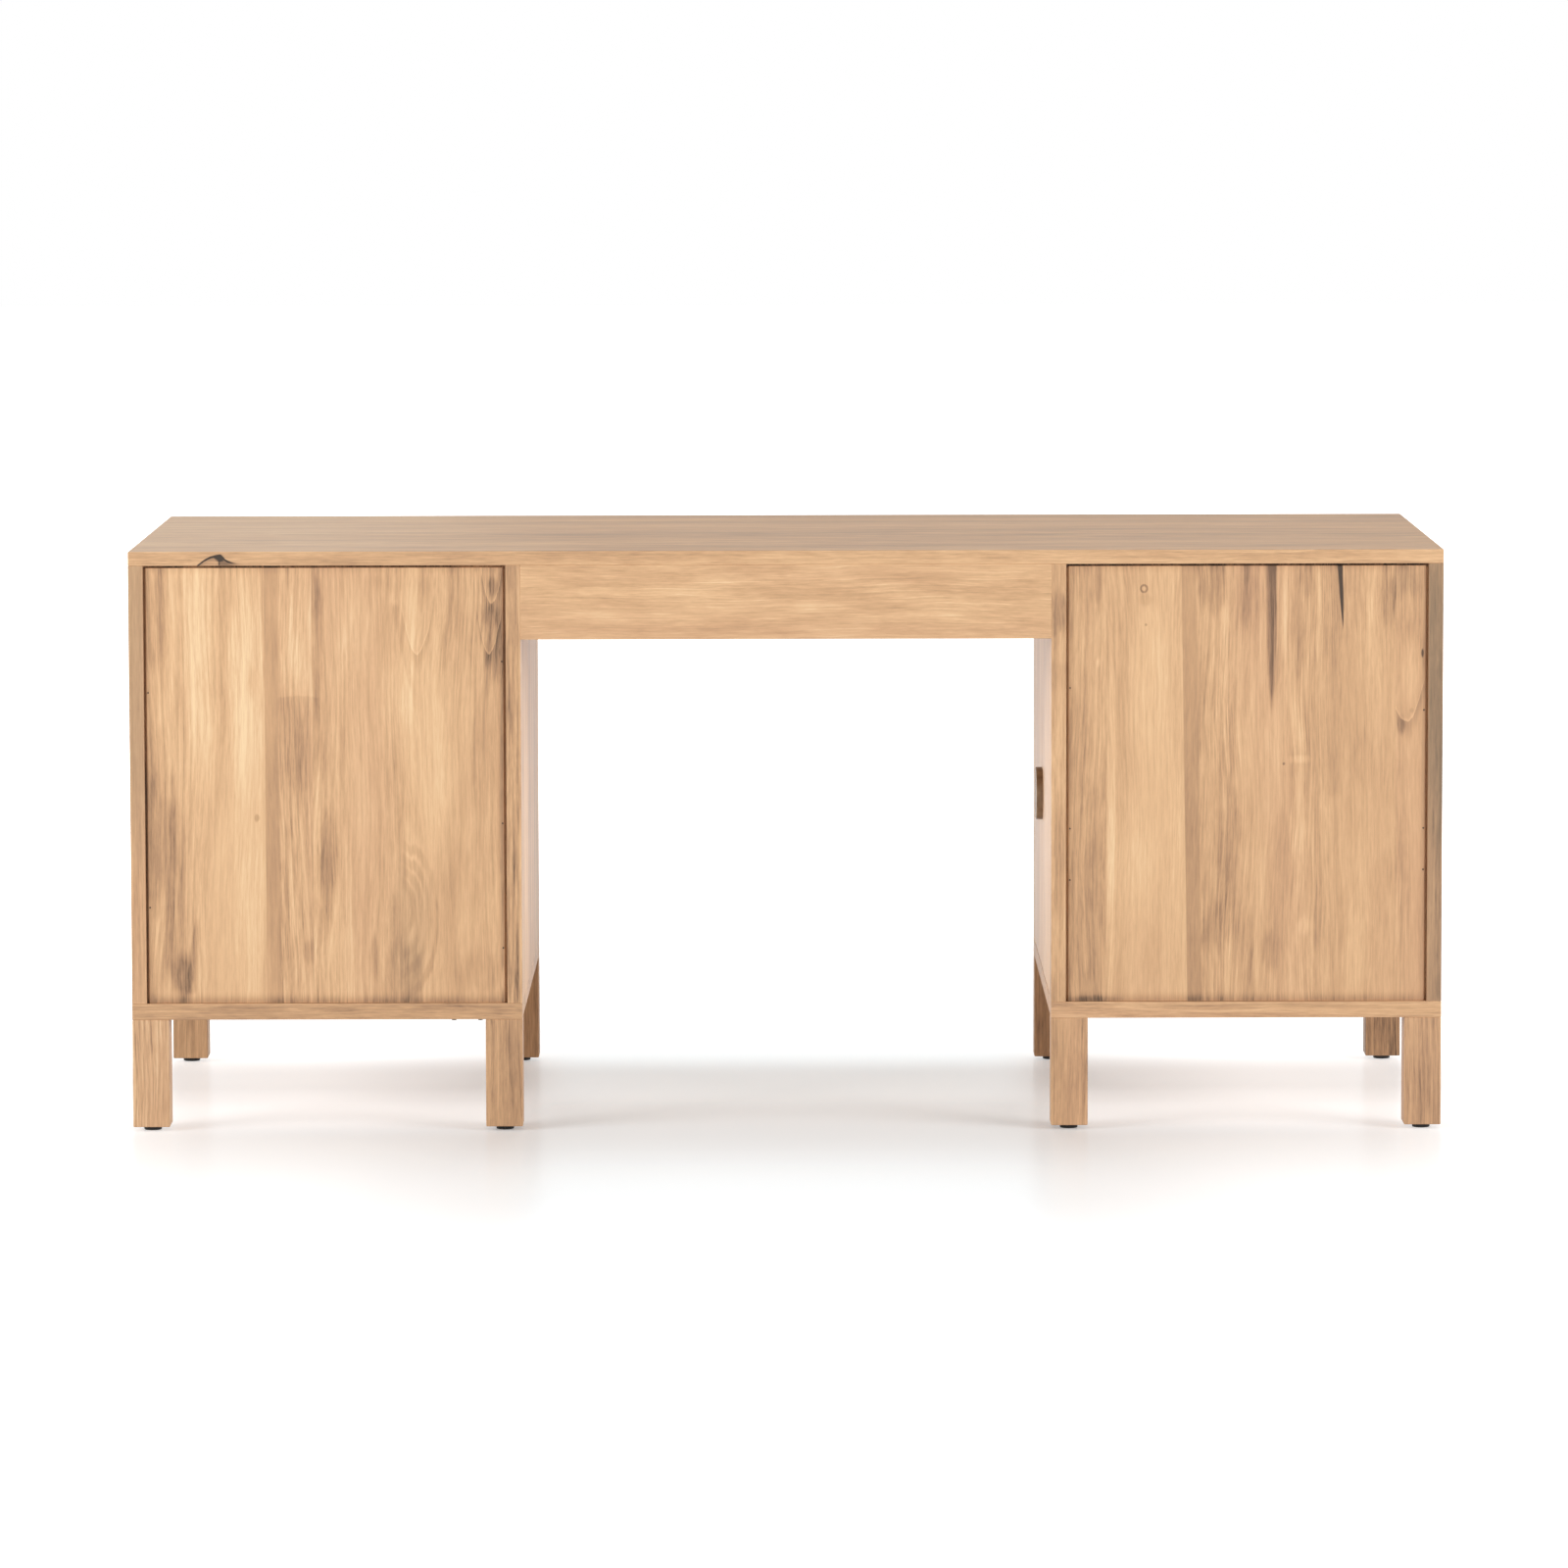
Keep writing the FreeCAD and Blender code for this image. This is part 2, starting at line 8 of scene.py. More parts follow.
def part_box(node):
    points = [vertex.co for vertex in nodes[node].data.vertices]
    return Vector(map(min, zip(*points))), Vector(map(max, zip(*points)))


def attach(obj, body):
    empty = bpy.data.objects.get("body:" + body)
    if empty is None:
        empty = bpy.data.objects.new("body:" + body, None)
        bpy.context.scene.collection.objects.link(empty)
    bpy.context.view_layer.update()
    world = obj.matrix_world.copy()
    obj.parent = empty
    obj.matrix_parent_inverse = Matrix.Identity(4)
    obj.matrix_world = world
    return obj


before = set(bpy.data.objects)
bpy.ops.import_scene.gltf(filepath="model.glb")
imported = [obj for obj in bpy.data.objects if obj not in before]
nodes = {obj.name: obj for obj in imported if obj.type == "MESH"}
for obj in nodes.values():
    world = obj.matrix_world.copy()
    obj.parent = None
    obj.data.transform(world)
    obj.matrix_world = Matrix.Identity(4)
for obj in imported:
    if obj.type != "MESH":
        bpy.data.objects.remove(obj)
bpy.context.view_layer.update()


# Desktop: one edge-glued board of solid poplar, its grain along the desk, with a bark pocket in its back
# edge. The wood is stained a light tan, wiped with a dry wash that greys it a little, and sealed with matt
# lacquer. Steel angle brackets hold it on the pedestals from below.
class Shade:
    """A socket of a finish's node tree, so that shader maths reads as plain sums."""

    def __init__(self, tree, socket=None):
        self.tree = tree
        self.socket = socket

    def node(self, kind, settings=None, sockets=None, out=0):
        """A new node: its settings first, a ramp's stops among them, then its sockets' values or links."""
        new = self.tree.nodes.new(kind)
        for name, value in (settings or {}).items():
            if name == "stops":
                while len(new.color_ramp.elements) < len(value):
                    new.color_ramp.elements.new(1.0)
                for element, (position, colour) in zip(new.color_ramp.elements, value):
                    element.position = position
                    element.color = colour
            else:
                setattr(new, name, value)
        for key, value in (sockets or {}).items():
            if isinstance(value, Shade):
                self.tree.links.new(value.socket, new.inputs[key])
            else:
                new.inputs[key].default_value = value
        return Shade(self.tree, new.outputs[out] if len(new.outputs) else None)

    def output(self, name):
        return Shade(self.tree, self.socket.node.outputs[name])

    def maths(self, operation, *terms):
        return self.node("ShaderNodeMath", {"operation": operation}, dict(enumerate(terms)))

    def __add__(self, other):
        return self.maths("ADD", self, other)

    __radd__ = __add__

    def __sub__(self, other):
        return self.maths("SUBTRACT", self, other)

    def __rsub__(self, other):
        return self.maths("SUBTRACT", other, self)

    def __mul__(self, other):
        return self.maths("MULTIPLY", self, other)

    __rmul__ = __mul__

    def __truediv__(self, other):
        return self.maths("DIVIDE", self, other)

    def __rtruediv__(self, other):
        return self.maths("DIVIDE", other, self)

    def __abs__(self):
        return self.maths("ABSOLUTE", self)

    def rise(self, low, high):
        """0 at low, 1 at high, smooth between; falls where low is the greater."""
        ends = {"Value": self, "From Min": low, "From Max": high}
        return self.node("ShaderNodeMapRange", {"interpolation_type": "SMOOTHSTEP"}, ends)

    def over(self, edge):
        return self.maths("GREATER_THAN", self, edge)

    def mixed(self, other, share):
        """This colour going over to another one by a share."""
        ends = {"Factor": share, 6: self, 7: other}
        return self.node("ShaderNodeMix", {"data_type": "RGBA"}, ends, out=2)


def paint(red, green, blue):
    """A colour as it is read off a screen, 0 to 255, as the linear colour that a shader takes."""
    levels = [level / 255 for level in (red, green, blue)]
    linear = [c / 12.92 if c <= 0.04045 else ((c + 0.055) / 1.055) ** 2.4 for c in levels]
    return (*linear, 1.0)


WASHED_TAN = [
    (0.00, paint(52, 42, 34)),
    (0.15, paint(112, 88, 68)),
    (0.35, paint(180, 141, 108)),
    (0.55, paint(212, 169, 128)),
    (0.75, paint(235, 193, 148)),
    (1.00, paint(253, 221, 177)),
]
STAIN_GREY = paint(146, 125, 101)
ROSY_HEART = paint(214, 166, 132)
YEAR_RING = 0.0085
WORN_EDGE = 0.0022


class Poplar:
    """A board's finish, told in its own directions: along the grain, across its face and through it."""

    def __init__(self, node, grain, through, cut):
        self.node = node
        self.material = bpy.data.materials.new(node + "_wood")
        self.material.use_nodes = True
        self.tree = self.material.node_tree
        self.tree.nodes.clear()
        self.place = Shade(self.tree).node("ShaderNodeTexCoord", out="Object")
        split = self.place.node("ShaderNodeSeparateXYZ", sockets={"Vector": self.place})
        across = next(axis for axis in "XYZ" if axis not in grain + through)
        self.along = split.output(grain)
        self.across = split.output(across)
        self.through = split.output(through)
        self.log_place = (3.17 * cut, 7.31 * cut, 1.93 * cut)

    def vector(self, along, across, through):
        return self.place.node("ShaderNodeCombineXYZ", sockets={"X": along, "Y": across, "Z": through})

    def noise(self, base, along, across, detail=2.0, roughness=0.5):
        """Noise about 0 with so many waves a metre along and across the fibres."""
        terms = {0: base, 1: (along, across, across), 2: self.log_place}
        spread = base.node("ShaderNodeVectorMath", {"operation": "MULTIPLY_ADD"}, terms)
        sockets = {"Vector": spread, "Scale": 1.0, "Detail": detail, "Roughness": roughness}
        return base.node("ShaderNodeTexNoise", {"noise_dimensions": "3D"}, sockets) - 0.5

    def figure(
        self,
        mean,
        planks=(),
        wander=0.045,
        bands=0.7,
        lines=0.75,
        rings=0.09,
        pith=(0.0, -0.15),
        plain=0.0,
        rosy=0.3,
    ):
        """The tone of the bare board: bands, growth rings, streaks and fibres, less of them where plain.

        Each plank starts at a seam, given by its place across the board, its lean, how much lighter the
        plank is than the one before it, and how far its grain is shifted along.
        """
        along = self.along
        tone = mean
        for seam, lean, lighter, shift in planks:
            beyond = (self.across + lean * self.along).over(seam)
            along = along + shift * beyond
            tone = tone + lighter * beyond
        straight = self.vector(along, self.across, self.through)
        sway = self.noise(straight, 1.8, 5.0, 2.0)
        curl = self.noise(straight, 11.0, 30.0, 2.0)
        bent = self.across + wander * sway + 0.002 * curl
        self.fibre = self.vector(along, bent, self.through)
        pith_across, pith_depth = pith
        depth = self.through - pith_depth + 0.12 * self.noise(straight, 0.5, 3.0, 1.0)
        squared = (bent - pith_across) * (bent - pith_across) + depth * depth
        years = squared.maths("SQRT", squared) / YEAR_RING + 0.5 * curl
        self.growth = years.maths("FRACT", years)
        late_wood = self.growth.rise(0.2, 0.9) - 1.6 * self.growth.rise(0.9, 0.95)
        late_wood = late_wood + 0.6 * self.growth.rise(0.95, 1.0) - 0.35
        self.streak = self.noise(self.fibre, 1.6, 75.0, 6.0, 0.68)
        hair = self.noise(self.fibre, 8.0, 280.0, 4.0, 0.75)
        self.fine = self.noise(self.fibre, 40.0, 480.0, 3.0, 0.65)
        broad = self.noise(self.fibre, 1.0, 14.0, 3.0, 0.55)
        self.blotch = self.noise(straight, 9.0, 45.0, 4.0, 0.6)
        cloud = self.noise(straight, 4.0, 11.0, 3.0, 0.5)
        lively = self.noise(straight, 0.9, 7.0, 2.0).rise(-0.05, 0.25)
        vivid = (0.5 + 1.0 * lively) * (1.0 - 0.8 * plain)
        patchy = self.noise(straight, 3.0, 9.0, 1.0).rise(-0.15, 0.2) * (1.0 - 0.9 * plain)
        self.blush = rosy * self.noise(straight, 0.7, 8.0, 2.0).rise(-0.05, 0.25)
        tone = tone + bands * (broad + 0.45 * cloud) * (1.0 - 0.5 * plain)
        strokes = 0.9 * self.streak.maths("MAXIMUM", self.streak, -0.15) + 1.6 * hair
        tone = tone + lines * vivid * strokes + 0.42 * (1.0 - 0.4 * plain) * self.fine
        return tone + (0.2 + 0.3 * vivid) * self.blotch - rings * late_wood * patchy

    def reach(self, across, along, half_across, half_along, face=None):
        """Distance from a place on the board, 1 at the edge of an oval of these half sizes."""
        terms = {0: self.vector(self.along, face or self.across, 0.0)}
        terms[1] = (1 / half_along, 1 / half_across, 0.0)
        terms[2] = (-along / half_along, -across / half_across, 0.0)
        away = self.place.node("ShaderNodeVectorMath", {"operation": "MULTIPLY_ADD"}, terms)
        return away.node("ShaderNodeVectorMath", {"operation": "LENGTH"}, {0: away}, out="Value")

    def spot(self, across, along, half_across, half_along, face=None):
        """A soft-edged oval mark, 1 in its middle, with a ragged edge that runs out along the fibres."""
        ragged = 1.4 * self.streak + 1.1 * self.blotch
        return (self.reach(across, along, half_across, half_along, face) + ragged).rise(1.15, 0.4)

    def loop(self, across, along, half_across, half_along, line, face=None):
        """A dark oval line, as round a knot or a bark pocket."""
        away = self.reach(across, along, half_across, half_along, face) + 0.4 * self.streak
        return abs(away - 1.0).rise(line, 0.3 * line)

    def marks(self, table):
        """The soft marks of a table, added up: across, along, half sizes and how much each one lightens."""
        total = 0.0
        for across, along, half_across, half_along, lightens in table.values():
            total = lightens * self.spot(across, along, half_across, half_along) + total
        return total

    def taper(self, start, end, start_half, end_half):
        """A streak that narrows from one (across, along) place to another."""
        run = (self.along - start[1]) / (end[1] - start[1])
        middle = start[0] + (end[0] - start[0]) * run + 0.008 * self.streak
        half = end_half + (start_half - end_half) * (1.0 - run * run)
        inside = (abs(self.across - middle) / half.maths("MAXIMUM", half, 0.0002)).rise(1.35, 0.4)
        return inside * run.rise(1.04, 0.8) * run.rise(-0.06, 0.02)

    def tongue(self, across, along, narrow):
        """The tip of a growth ring that runs out on the face: a pale line with shade outside it."""
        side = self.across - across + 0.004 * self.blotch
        inside = self.along - along - narrow * side * side + 0.02 * self.blotch
        line = inside.rise(-0.0005, 0.001) * inside.rise(0.0055, 0.0015)
        shade = inside.rise(-0.03, -0.0015) * inside.rise(0.001, -0.001)
        return (0.7 * line - shade) * self.along.rise(along + 0.09, along + 0.03)

    def rim(self, across, half_across, along, half_along, width=0.003):
        """1 along the edges of a panel, fading inwards over a width: a mask for painted shade in the panel's
        corners.
        """
        side = abs(self.across - across + 0.004 * self.streak).rise(half_across - width, half_across)
        end = abs(self.along - along).rise(half_along - width, half_along)
        return side.maths("MAXIMUM", side, end)

    def arris(self):
        """1 on the board's sharp edges, where the sander and hands have rubbed the stain thin."""
        low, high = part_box(self.node)
        half = (high - low) / 2
        middle = (high + low) / 2
        terms = {0: self.place, 1: middle}
        away = self.place.node("ShaderNodeVectorMath", {"operation": "SUBTRACT"}, terms)
        away = away.node("ShaderNodeVectorMath", {"operation": "ABSOLUTE"}, {0: away})
        inset = away.node("ShaderNodeVectorMath", {"operation": "SUBTRACT"}, {0: half, 1: away})
        inset = inset.node("ShaderNodeSeparateXYZ", sockets={"Vector": inset})
        x, y, z = (inset.output(axis) for axis in "XYZ")
        nearer = x.maths("MINIMUM", x, y)
        farther = x.maths("MAXIMUM", x, y)
        second = nearer.maths("MAXIMUM", nearer, farther.maths("MINIMUM", farther, z))
        return (second + 0.006 * self.blotch + 0.004 * self.streak).rise(WORN_EDGE, 0.3 * WORN_EDGE)

    def seal(self, tone, grey=0.0, ramp=WASHED_TAN, gloss=0.5):
        """Stain by tone, painted shade and sheen included, grey wash by share and matt lacquer over both, on
        the board's CAD node.
        """
        tone = tone + 0.05 * self.arris()
        stained = self.place.node("ShaderNodeValToRGB", {"stops": ramp}, {"Fac": tone})
        wash = 0.03 + 0.1 * self.fine.rise(0.0, 0.3) * self.streak.rise(0.0, 0.25) + grey
        colour = stained.mixed(ROSY_HEART, self.blush).mixed(STAIN_GREY, wash)
        rough = gloss + 0.25 * self.streak + 0.2 * self.fine
        relief = {"Strength": 0.12, "Distance": 0.0004, "Height": self.fine + 0.5 * self.streak}
        bump = self.place.node("ShaderNodeBump", None, relief)
        sockets = {"Base Color": colour, "Roughness": rough, "Normal": bump, "IOR": 1.45}
        surface = self.place.node("ShaderNodeBsdfPrincipled", None, sockets)
        self.place.node("ShaderNodeOutputMaterial", None, {"Surface": surface})
        dress(self.material, self.node)


def dress(finish, *names):
    """Give CAD nodes a finish."""
    for name in names:
        for slot in nodes[name].material_slots:
            slot.material = finish


board = Poplar("desktop", "X", "Z", 1)
top_planks = [(-0.21, 0.0, 0.04, 0.7), (-0.02, 0.0, -0.05, 1.3), (0.18, 0.0, 0.03, 0.9)]
tone = board.figure(0.57, planks=top_planks, bands=0.4, lines=0.6, pith=(0.05, 0.6), rosy=0.0)
desktop_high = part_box("desktop")[1]
upper_face = board.through.rise(desktop_high.z - 0.0015, desktop_high.z - 0.0005)
# Painted sheen: the upper face is a little darker in tone than the board's edges and paler towards the
# drawer end, which is also made glossier.
glossy_painted_sheen_end = upper_face * board.along.rise(0.2, 0.7)
tone = tone - 0.02 * upper_face + 0.15 * glossy_painted_sheen_end
back_edge = board.across.rise(0.35, 0.375)
edge = board.through
tone = tone - 0.06 * back_edge * board.spot(0.78, 0.7, 0.05, 0.5, edge)
BARK_PEAK = 0.7645
BARK_FOOT = 0.771
BARK_RISE = 0.0147
BARK_LENGTH = 0.031
BARK_TAIL = 0.007
before = (board.along - BARK_PEAK) / BARK_LENGTH
after = (BARK_PEAK - board.along) / BARK_TAIL
rising_part = board.along.rise(BARK_PEAK - 0.001, BARK_PEAK + 0.003)
bark_height = rising_part * BARK_RISE * (1.0 - before * before)
bark_height = bark_height + (1.0 - rising_part) * (0.0035 + 0.0115 / (1.0 + after * after))
below = BARK_FOOT + bark_height + 0.002 * board.streak - edge
bark_line = below.rise(-0.0010, 0.0002) * below.rise(0.0032, 0.0013) * board.along.rise(0.738, 0.757)
bark_core = board.spot(0.7815, 0.7650, 0.0050, 0.0070, edge)
bark_core = bark_core + 0.6 * board.spot(0.7750, 0.7655, 0.0060, 0.0013, edge)
ingrown = rising_part * (0.85 - 0.4 * below.rise(0.002, 0.009))
ingrown = ingrown + 1.15 * (1.0 - rising_part) * board.along.rise(0.728, 0.757)
bark = 0.5 * bark_line + 0.4 * bark_core + 0.34 * ingrown * below.rise(0.0, 0.001)
tone = tone - back_edge * bark
board.seal(tone, gloss=0.47 + 0.05 * upper_face - 0.07 * glossy_painted_sheen_end)


# Drawer pedestal: a panel of glued-up upright planks sits in a recess at the back, held by brads, between
# two solid sides on a full-width bottom board. All are stained poplar, and the planks were picked without
# matching, heartwood beside sapwood.
PANEL_MIDDLE = 0.624
PANEL_HALF_WIDTH = 0.242
PANEL_MIDDLE_HEIGHT = 0.472
PANEL_HALF_HEIGHT = 0.2964
PANEL_SHADE = 0.012
BACK_FACE = 0.381
board = Poplar("drawer_back_panel", "Z", "Y", 2)
DRAWER_SEAM = 0.7057
planks = [(0.6415, 0.0, 0.0, 0.45), (DRAWER_SEAM, 0.0, 0.07, 0.85), (0.8145, 0.0, -0.11, 0.0)]
flat_band = board.across.rise(DRAWER_SEAM + 0.0003, DRAWER_SEAM - 0.0004)
flat_band = flat_band * board.across.rise(0.6850, 0.6885)
quiet = 0.6 * board.across.rise(DRAWER_SEAM - 0.0007, DRAWER_SEAM + 0.0003) * board.across.rise(0.80, 0.78)
quiet = quiet * board.along.rise(0.62, 0.42)
quiet = quiet + 0.5 * board.across.rise(0.52, 0.47) * board.along.rise(0.66, 0.56)
tone = board.figure(0.62, planks, bands=0.7, lines=0.85, pith=(0.5, 0.25), plain=flat_band + quiet)
drawer_panel_stains = {
    "heartwood by the side, upper": (0.856, 0.690, 0.026, 0.090, -0.16),
    "heartwood by the side, lower": (0.850, 0.400, 0.036, 0.150, -0.22),
    "heartwood, its point": (0.838, 0.270, 0.012, 0.080, -0.14),
    "sapwood, outer": (0.787, 0.640, 0.024, 0.190, 0.16),
    "sapwood, inner": (0.738, 0.600, 0.024, 0.170, 0.15),
    "sapwood, lower": (0.748, 0.330, 0.042, 0.160, 0.07),
    "smoke at the foot": (0.819, 0.210, 0.018, 0.038, -0.26),
    "pale edge of the sapwood plank": (0.7135, 0.520, 0.007, 0.300, 0.07),
    "pin knot": (0.717, 0.428, 0.0045, 0.0055, -0.22),
    "cloud above the pin knot": (0.722, 0.610, 0.008, 0.025, -0.10),
    "dark plank, middle": (0.666, 0.545, 0.026, 0.090, -0.11),
    "long dark streak": (0.633, 0.660, 0.008, 0.110, -0.20),
    "long dark streak, middle": (0.627, 0.510, 0.009, 0.090, -0.16),
    "long dark streak, foot": (0.619, 0.365, 0.013, 0.085, -0.21),
    "long dark streak, top": (0.638, 0.735, 0.010, 0.045, -0.12),
    "light flame": (0.585, 0.660, 0.036, 0.110, 0.10),
    "light flame, lower": (0.575, 0.470, 0.022, 0.120, 0.05),
    "light flame, right": (0.468, 0.520, 0.030, 0.170, 0.13),
    "tan top": (0.525, 0.750, 0.050, 0.020, -0.08),
    "knotty edge": (0.398, 0.690, 0.020, 0.090, -0.17),
    "bark in the knotty edge": (0.3960, 0.741, 0.0080, 0.015, -0.18),
    "bark in the knotty edge, lower": (0.3990, 0.703, 0.0130, 0.018, -0.12),
    "dark edge": (0.402, 0.470, 0.022, 0.300, -0.07),
    "dark edge, foot": (0.418, 0.215, 0.030, 0.040, -0.12),
    "grey foot": (0.515, 0.210, 0.028, 0.050, -0.13),
    "foot blotch": (0.648, 0.244, 0.010, 0.018, -0.14),
    "foot line": (0.560, 0.240, 0.008, 0.035, -0.14),
    "pale chip": (0.3850, 0.207, 0.003, 0.022, 0.26),
}
tone = tone + board.marks(drawer_panel_stains)
tone = tone - 0.12 * flat_band
STAIN_LAP = 0.594
lap = STAIN_LAP + 0.012 * board.blotch
lap_width = board.across.rise(0.6880, 0.6830) * board.across.rise(0.6280, 0.6400)
below_lap = board.along.rise(lap + 0.001, lap - 0.002) * board.along.rise(0.42, 0.54)
above_lap = board.along.rise(lap - 0.002, lap + 0.001) * board.along.rise(0.68, 0.65)
tone = tone + lap_width * (0.05 * above_lap - 0.06 * below_lap)
tone = tone - 0.18 * board.taper((0.8090, 0.190), (0.7990, 0.295), 0.0080, 0.0030)
tone = tone - 0.12 * board.taper((0.5280, 0.715), (0.5030, 0.590), 0.0060, 0.0020)
tone = tone + 0.12 * board.tongue(0.4987, 0.649, 149.0)
tone = tone + 0.16 * board.tongue(0.4008, 0.649, 220.0) + 0.14 * board.tongue(0.3977, 0.719, 220.0)
swirl = board.spot(0.5100, 0.285, 0.030, 0.085)
tone = tone - 0.02 * swirl
broken = board.across.rise(0.528, 0.508) * (0.25 + 0.75 * board.blotch.rise(-0.10, 0.16))
for ring in (0.4, 0.65, 0.9, 1.2):
    arc = board.loop(0.5220, 0.312 - 0.02 * ring, 0.040 * ring, 0.085 * ring, 0.12 / ring)
    tone = tone - 0.19 * broken * arc
# Painted shade: darker along the panel's edges where it sits back in its recess, along its foot by the
# bottom board and by the inner side.
painted_corner_shade = board.rim(PANEL_MIDDLE, PANEL_HALF_WIDTH, PANEL_MIDDLE_HEIGHT, PANEL_HALF_HEIGHT, PANEL_SHADE)
tone = tone - 0.1 * painted_corner_shade
tone = tone - 0.16 * board.along.rise(0.192, 0.177) - 0.14 * board.across.rise(0.390, 0.383)
# Painted light and shade in the shadow-gap groove: its floor is lightened by the inner side and darkened
# along the top.
groove = board.through.rise(BACK_FACE - 0.0015, BACK_FACE - 0.0035)
tone = tone + groove * (0.34 * board.across.rise(0.5, 0.4) - 0.3 * board.along.rise(0.764, 0.767))
board.seal(tone, 0.15 * board.spot(0.512, 0.215, 0.028, 0.05) + 0.12 * swirl)

board = Poplar("drawer_outer_side", "Z", "X", 3)
tone = board.figure(0.60, wander=0.03, bands=0.5)
weathered = 0.36 * board.across.rise(BACK_FACE, BACK_FACE + 0.004) * board.along.rise(0.30, 0.52)
board.seal(tone, weathered)

board = Poplar("drawer_inner_side", "Z", "X", 4)
KNEE_SIDE = 0.36
# Painted sheen: the face towards the knee-hole is lighter than the board's other faces.
painted_sheen_knee_face = board.through.rise(KNEE_SIDE + 0.004, KNEE_SIDE + 0.0005)
tone = board.figure(0.44, wander=0.03, bands=0.6, rosy=0.0) + 0.14 * painted_sheen_knee_face
board.seal(tone, gloss=0.5)

board = Poplar("drawer_bottom_board", "X", "Z", 5)
tone = board.figure(0.52, bands=0.5)
board.seal(tone - 0.13 * board.spot(0.156, 0.876, 0.030, 0.018))


def cast_finish(name, low, high, roughness, metallic, grain, relief):
    """A finish of one colour that wanders between two tones, for metal, plastic and lacquer."""
    finish = bpy.data.materials.new(name)
    finish.use_nodes = True
    finish.node_tree.nodes.clear()
    place = Shade(finish.node_tree).node("ShaderNodeTexCoord", out="Object")
    cloud = place.node("ShaderNodeTexNoise", None, {"Vector": place, "Scale": grain, "Detail": 4.0})
    speck = place.node("ShaderNodeTexNoise", None, {"Vector": place, "Scale": 12 * grain, "Detail": 2.0})
    colours = {"stops": [(0.3, low), (0.7, high)]}
    colour = place.node("ShaderNodeValToRGB", colours, {"Fac": cloud})
    bump = place.node("ShaderNodeBump", None, {"Strength": relief, "Distance": 0.0003, "Height": speck})
    sockets = {"Base Color": colour, "Roughness": roughness + 0.3 * (speck - 0.5), "Normal": bump}
    sockets["Metallic"] = metallic
    surface = place.node("ShaderNodeBsdfPrincipled", None, sockets)
    place.node("ShaderNodeOutputMaterial", None, {"Surface": surface})
    return finish


def fastener_heads(name, radius, height, recess, places, way, body, finish):
    """Round heads on a flat face, in one piece, with rounded rims and a driver's recess of some depth."""
    shape = bmesh.new()
    outward = Vector(way)
    turn = outward.to_track_quat("Z", "Y").to_matrix().to_4x4()
    for place in places:
        middle = Matrix.Translation(Vector(place) + outward * height / 2)
        sizes = {"segments": 24, "radius1": radius, "radius2": radius, "depth": height}
        bmesh.ops.create_cone(shape, cap_ends=True, matrix=middle @ turn, **sizes)
    crowns = [face for face in shape.faces if face.normal.dot(outward) > 0.9]
    rims = [edge for face in crowns for edge in face.edges]
    rounding = {"offset": 0.6 * height, "segments": 3, "profile": 0.5, "affect": "EDGES", "material": -1}
    bmesh.ops.bevel(shape, geom=rims, **rounding)
    if recess:
        crowns = [face for face in shape.faces if face.normal.dot(outward) > 0.999 and len(face.verts) > 4]
        bmesh.ops.inset_individual(shape, faces=crowns, thickness=0.25 * radius)
        floors = bmesh.ops.extrude_discrete_faces(shape, faces=crowns)["faces"]
        corners = list({corner for face in floors for corner in face.verts})
        bmesh.ops.translate(shape, verts=corners, vec=-recess * outward)
    mesh = bpy.data.meshes.new(name)
    shape.to_mesh(mesh)
    shape.free()
    mesh.materials.append(finish)
    piece = bpy.data.objects.new(name, mesh)
    bpy.context.scene.collection.objects.link(piece)
    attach(piece, body)


brad_steel = cast_finish("browned_steel", paint(52, 42, 34), paint(84, 70, 58), 0.5, 0.6, 200.0, 0.1)
BRAD_RADIUS = 0.0012
BRAD_PROUD = 0.0003
panel_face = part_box("drawer_back_panel")[1].y
OUTER_BRADS = 0.8635
INNER_BRADS = 0.3845
brads = [(OUTER_BRADS, panel_face, height) for height in (0.5985, 0.306)]
brads += [(INNER_BRADS, panel_face, height) for height in (0.640, 0.420, 0.250)]
brad = (BRAD_RADIUS, BRAD_PROUD, 0.0)
fastener_heads("drawer_panel_brads", *brad, brads, (0, 1, 0), "carcass", brad_steel)
SCREW_RADIUS = 0.0036
SCREW_HEAD = 0.0024
SCREW_RECESS = 0.0012
board_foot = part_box("drawer_bottom_board")[0].z
SCREW_ROW = 0.3735
screws = [(across, SCREW_ROW, board_foot) for across in (0.4522, 0.4164)]
screw = (SCREW_RADIUS, SCREW_HEAD, SCREW_RECESS)
fastener_heads("bottom_board_screws", *screw, screws, (0, 0, -1), "carcass", brad_steel)


# Cabinet pedestal: the same poplar carcass, with a frame on its knee-hole face for the doors and a panelled
# front. Its back panel, held by brads, has two mineral streaks that run down from the top, a pin knot and a
# swirl where a branch grew.
board = Poplar("cabinet_back_panel", "Z", "Y", 6)
CABINET_SEAM = -0.5473
SEAM_LEAN = -0.0164
LAST_SEAM = -0.8253
planks = [(LAST_SEAM, 0.0, 0.0, 0.45), (CABINET_SEAM, SEAM_LEAN, 0.05, 0.85), (-0.4336, 0.0, -0.08, 0.6)]
leaning = board.across + SEAM_LEAN * board.along
flat_band = leaning.rise(CABINET_SEAM + 0.0003, CABINET_SEAM - 0.0004) * leaning.rise(-0.5690, -0.5655)
quiet = 0.6 * leaning.rise(CABINET_SEAM - 0.0004, CABINET_SEAM + 0.0003) * board.across.rise(-0.433, -0.455)
quiet = quiet + 0.6 * board.across.rise(-0.68, -0.72) * board.along.rise(0.72, 0.58)
beside_band = leaning.rise(-0.569, -0.572) * board.across.rise(-0.70, -0.67)
quiet = quiet + 0.55 * beside_band * board.along.rise(0.58, 0.46)
tone = board.figure(0.59, planks, bands=0.6, lines=0.85, pith=(-0.76, 0.22), plain=flat_band + quiet)
